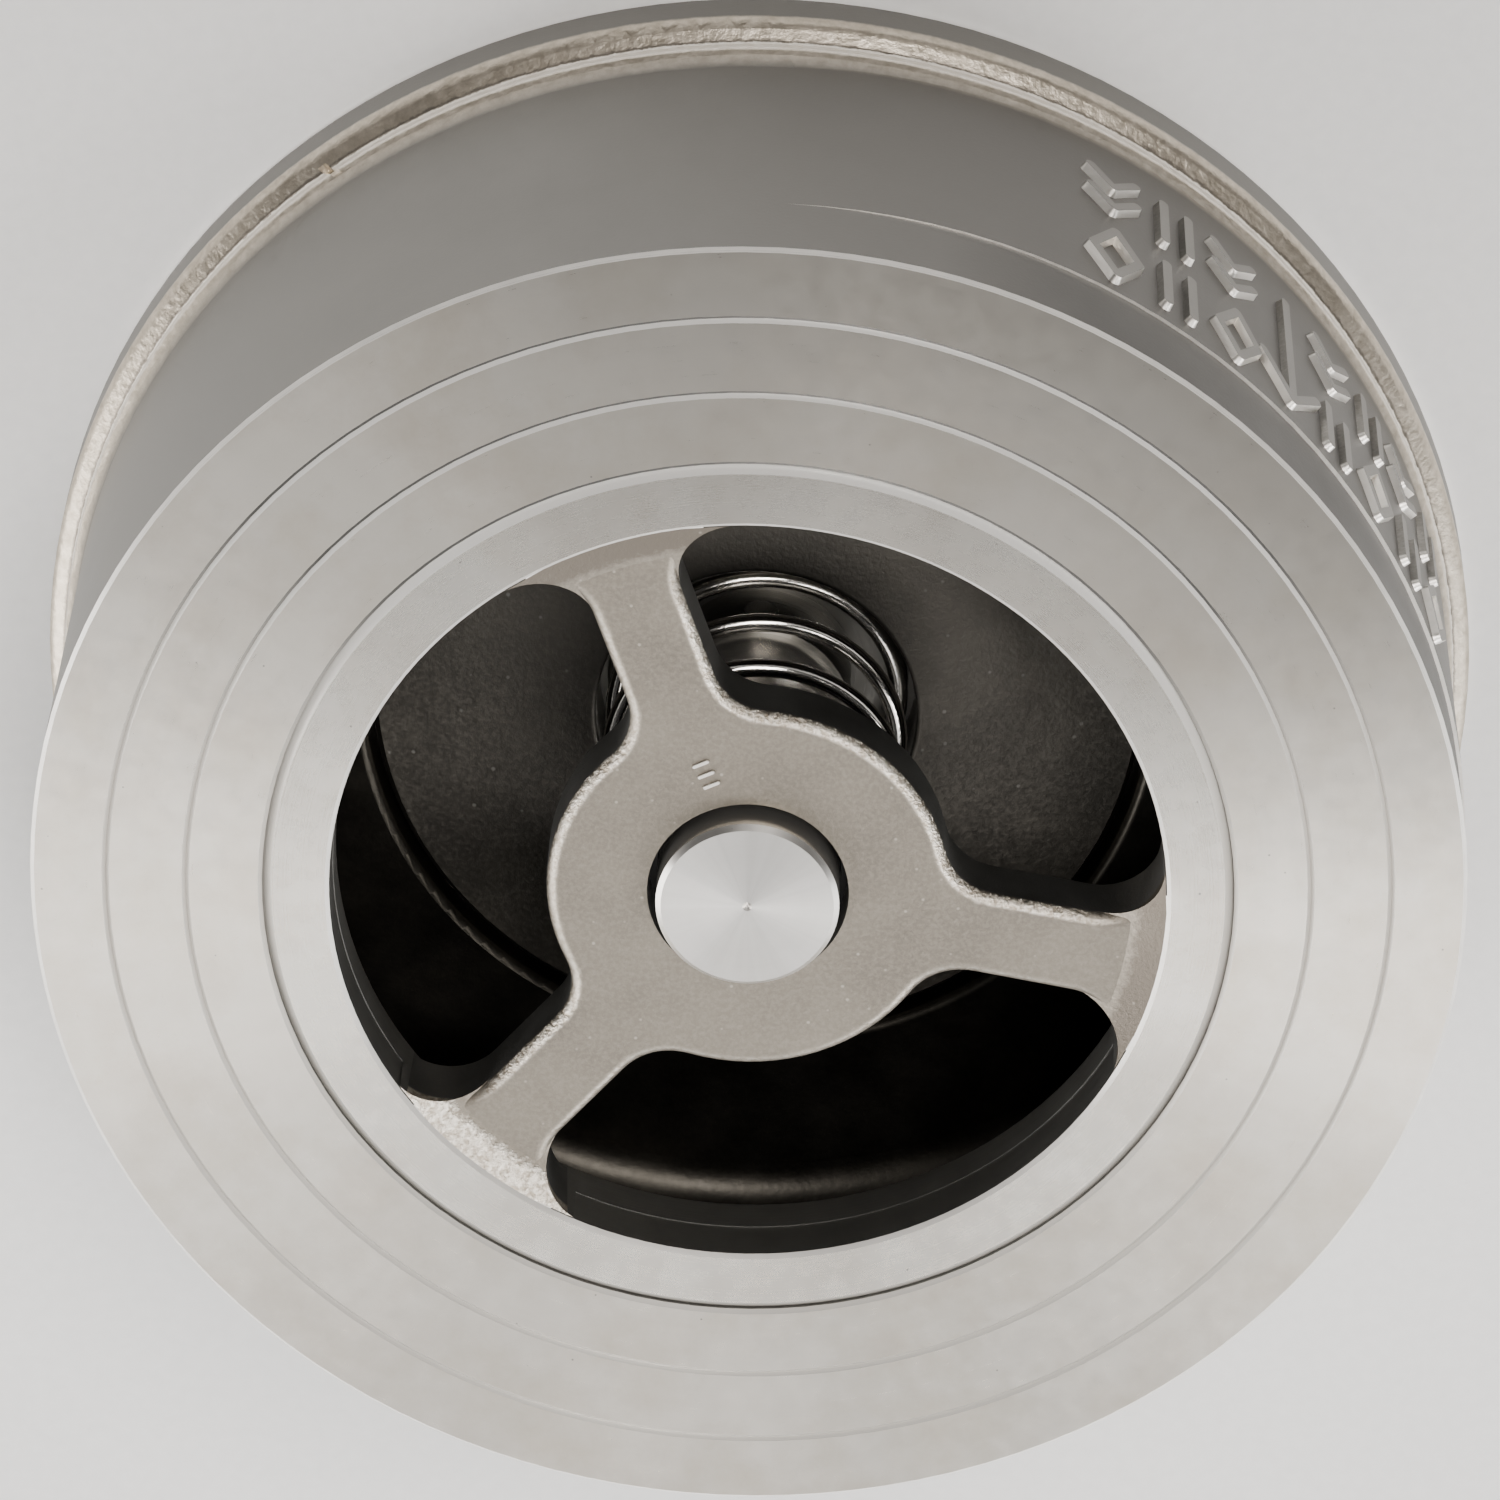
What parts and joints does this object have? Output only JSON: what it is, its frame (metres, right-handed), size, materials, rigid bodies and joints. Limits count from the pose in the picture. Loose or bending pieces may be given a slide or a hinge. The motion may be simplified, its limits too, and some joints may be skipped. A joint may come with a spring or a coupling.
{
  "type": "wafer check valve",
  "caption": "Short round wafer check valve with a spring-loaded lifting disc, a stem guided by a three-arm hub, and grooved sealing faces for clamping between pipe flanges.",
  "frame": {"origin": "centre of the inlet sealing face, on the valve's axis", "axes": "+Z along the valve's axis in the flow direction, from the inlet face to the outlet face; the middle of one guide arm lies 21 degrees from -Y towards +X"},
  "size_m": [0.127, 0.127, 0.047],
  "materials": {
    "cast_body": "stainless casting with turned faces and a fine blasted side",
    "seat_steel": "ground seat face",
    "guide_casting": "blasted stainless casting with a turned front face",
    "bush_liner": "dark graphite-filled PTFE",
    "disc_casting": "rough stainless casting with a turned rim",
    "stem_steel": "polished turned stainless steel",
    "pin_steel": "ground pin",
    "spring_wire": "bright drawn stainless wire"
  },
  "bodies": {
    "housing": {"valve_body": "cast_body", "seat_ring": "seat_steel", "guide_ring": "guide_casting", "guide_bush": "bush_liner", "spring": "spring_wire"},
    "shutter": {"disc": "disc_casting", "stem": "stem_steel", "stem_lock_pin": "pin_steel"}
  },
  "joints": [
    {"name": "disc_lift", "type": "slide", "parent": "housing", "child": "shutter", "axis": [0, 0, 1], "range_m": [0, 0.015], "stiffness_N_per_m": 1070, "springref_m": -0.0056, "deforming": ["spring"]}
  ]
}
